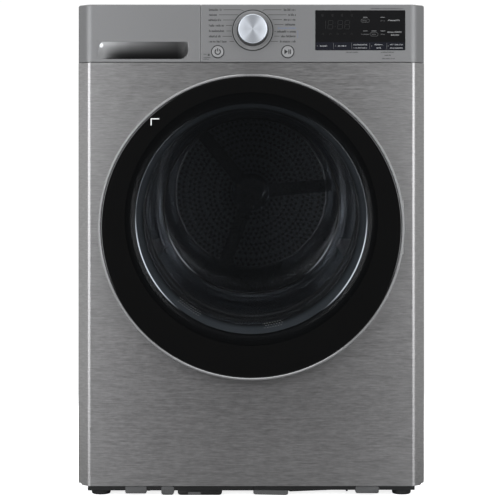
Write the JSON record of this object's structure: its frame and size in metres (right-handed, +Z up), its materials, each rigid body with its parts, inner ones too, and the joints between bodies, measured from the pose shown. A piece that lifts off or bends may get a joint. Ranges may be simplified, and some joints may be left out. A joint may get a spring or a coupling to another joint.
{
  "type": "clothes dryer",
  "caption": "Free-standing front-loading heat-pump clothes dryer with round glass door, turning drum, water-tank drawer, programme knob, keys and levelling feet.",
  "frame": {"origin": "centre of the bounding box's bottom face, on the floor under the middle of the machine", "axes": "+X to the user's right facing the door, +Y towards the back, +Z up"},
  "size_m": [0.6, 0.69, 0.85],
  "materials": {
    "brushed_front": "horizontal brushed stainless look",
    "fascia_silver": "satin metallic silver",
    "cabinet_paint": "satin silver-grey paint",
    "top_paint": "satin silver-grey textured",
    "galvanised": "zinc coated sheet",
    "black_plastic": "matt black moulded plastic",
    "grey_plastic": "matt dark grey moulded plastic",
    "light_plastic": "natural translucent grey plastic",
    "display_black": "gloss black window",
    "chrome_trim": "bright trim",
    "knob_metal": "spun aluminium",
    "smoked_lens": "smoked tempered glass with black printed border",
    "bowl_glass": "pressed glass bowl",
    "door_black": "gloss black plastic",
    "seal_rubber": "matt EPDM",
    "felt": "wool felt",
    "drum_steel": "satin stainless drum",
    "steel_pin": "ground steel",
    "cast_alloy": "die cast",
    "coil_fins": "bright fins",
    "compressor_black": "black enamel",
    "board": "circuit board",
    "mesh": "fine filter mesh",
    "foot_rubber": "moulded foot",
    "belt_rubber": "ribbed belt"
  },
  "bodies": {
    "cabinet": {"right_side_panel": "cabinet_paint", "left_side_panel": "cabinet_paint", "front_panel": "brushed_front", "base_skirt": "black_plastic", "base_pan": "grey_plastic", "top_panel": "top_paint", "rear_panel": "galvanised", "rear_duct_cover": "galvanised", "rear_panel_screws": "steel_pin", "control_fascia": "fascia_silver", "display_glass": "display_black", "control_trim_rings": "chrome_trim", "control_board": "board", "tank_shelf": "grey_plastic", "front_bulkhead": "grey_plastic", "drum_front_felt": "felt", "rear_bearing_carrier": "galvanised", "roller_supports": "galvanised", "motor_body": "cast_alloy", "fan_housing": "grey_plastic", "drive_belt": "belt_rubber", "tension_arm": "galvanised", "compressor": "compressor_black", "heat_exchanger_coils": "coil_fins", "heat_exchanger_duct": "grey_plastic", "drain_pump": "black_plastic", "lint_filter_housing": "grey_plastic", "lint_filter": "mesh", "cable_inlet": "black_plastic", "drain_spigot": "grey_plastic", "door_catch": "black_plastic", "hinge_bracket": "steel_pin", "hinge_pin": "steel_pin"},
    "door": {"door_ring": "chrome_trim", "door_lens": "smoked_lens", "door_inner_frame": "door_black", "door_bowl": "bowl_glass", "door_seal": "seal_rubber", "door_hook": "steel_pin", "hinge_leaf": "steel_pin"},
    "drum": {"drum_shell": "drum_steel", "drum_rear_wall": "drum_steel", "drum_hub": "drum_steel", "drum_shaft": "steel_pin", "drum_lifters": "light_plastic"},
    "roller_right": {"right_drum_roller": "grey_plastic"},
    "roller_left": {"left_drum_roller": "grey_plastic"},
    "rotor": {"motor_shaft": "steel_pin", "fan_impeller": "grey_plastic"},
    "tensioner": {"tension_pulley": "grey_plastic"},
    "tank": {"tank_front": "fascia_silver", "tank_body": "light_plastic", "tank_lid": "light_plastic"},
    "knob": {"programme_knob": "knob_metal"},
    "power_key": {"power_button": "fascia_silver"},
    "start_key": {"start_button": "fascia_silver"},
    "foot_front_left": {"front_left_foot": "foot_rubber"},
    "foot_front_right": {"front_right_foot": "foot_rubber"},
    "foot_rear_left": {"rear_left_foot": "foot_rubber"},
    "foot_rear_right": {"rear_right_foot": "foot_rubber"}
  },
  "joints": [
    {"name": "door_hinge", "type": "hinge", "parent": "cabinet", "child": "door", "pos_m": [0.256, -0.334, 0.465], "axis": [0, 0, 1], "range_deg": [0, 110]},
    {"name": "drum_spin", "type": "hinge", "parent": "cabinet", "child": "drum", "pos_m": [0, 0, 0.53], "axis": [0, 1, 0], "continuous": true},
    {"name": "right_roller_spin", "type": "hinge", "parent": "cabinet", "child": "roller_right", "pos_m": [0.1518, -0.213, 0.2871], "axis": [0, 1, 0], "continuous": true},
    {"name": "left_roller_spin", "type": "hinge", "parent": "cabinet", "child": "roller_left", "pos_m": [-0.1518, -0.213, 0.2871], "axis": [0, 1, 0], "continuous": true},
    {"name": "motor_spin", "type": "hinge", "parent": "cabinet", "child": "rotor", "pos_m": [0.12, 0, 0.15], "axis": [0, 1, 0], "continuous": true},
    {"name": "tensioner_spin", "type": "hinge", "parent": "cabinet", "child": "tensioner", "pos_m": [0.0414, 0.0095, 0.1593], "axis": [0, 1, 0], "continuous": true},
    {"name": "tank_slide", "type": "slide", "parent": "cabinet", "child": "tank", "axis": [0, -1, 0], "range_m": [0, 0.4]},
    {"name": "knob_spin", "type": "hinge", "parent": "cabinet", "child": "knob", "pos_m": [0.0025, -0.33, 0.805], "axis": [0, -1, 0], "continuous": true},
    {"name": "power_press", "type": "slide", "parent": "cabinet", "child": "power_key", "axis": [0, 1, 0], "range_m": [0, 0.0015], "stiffness_N_per_m": 1200},
    {"name": "start_press", "type": "slide", "parent": "cabinet", "child": "start_key", "axis": [0, 1, 0], "range_m": [0, 0.0015], "stiffness_N_per_m": 1200},
    {"name": "front_left_foot_height", "type": "slide", "parent": "cabinet", "child": "foot_front_left", "axis": [0, 0, -1], "range_m": [0, 0.012]},
    {"name": "front_right_foot_height", "type": "slide", "parent": "cabinet", "child": "foot_front_right", "axis": [0, 0, -1], "range_m": [0, 0.012]},
    {"name": "rear_left_foot_height", "type": "slide", "parent": "cabinet", "child": "foot_rear_left", "axis": [0, 0, -1], "range_m": [0, 0.012]},
    {"name": "rear_right_foot_height", "type": "slide", "parent": "cabinet", "child": "foot_rear_right", "axis": [0, 0, -1], "range_m": [0, 0.012]}
  ],
  "couplings": [
    {"joint": "right_roller_spin", "follows": "drum_spin", "ratio": -10.917},
    {"joint": "left_roller_spin", "follows": "drum_spin", "ratio": -10.917},
    {"joint": "motor_spin", "follows": "drum_spin", "ratio": 12.152},
    {"joint": "tensioner_spin", "follows": "drum_spin", "ratio": -16.69}
  ]
}
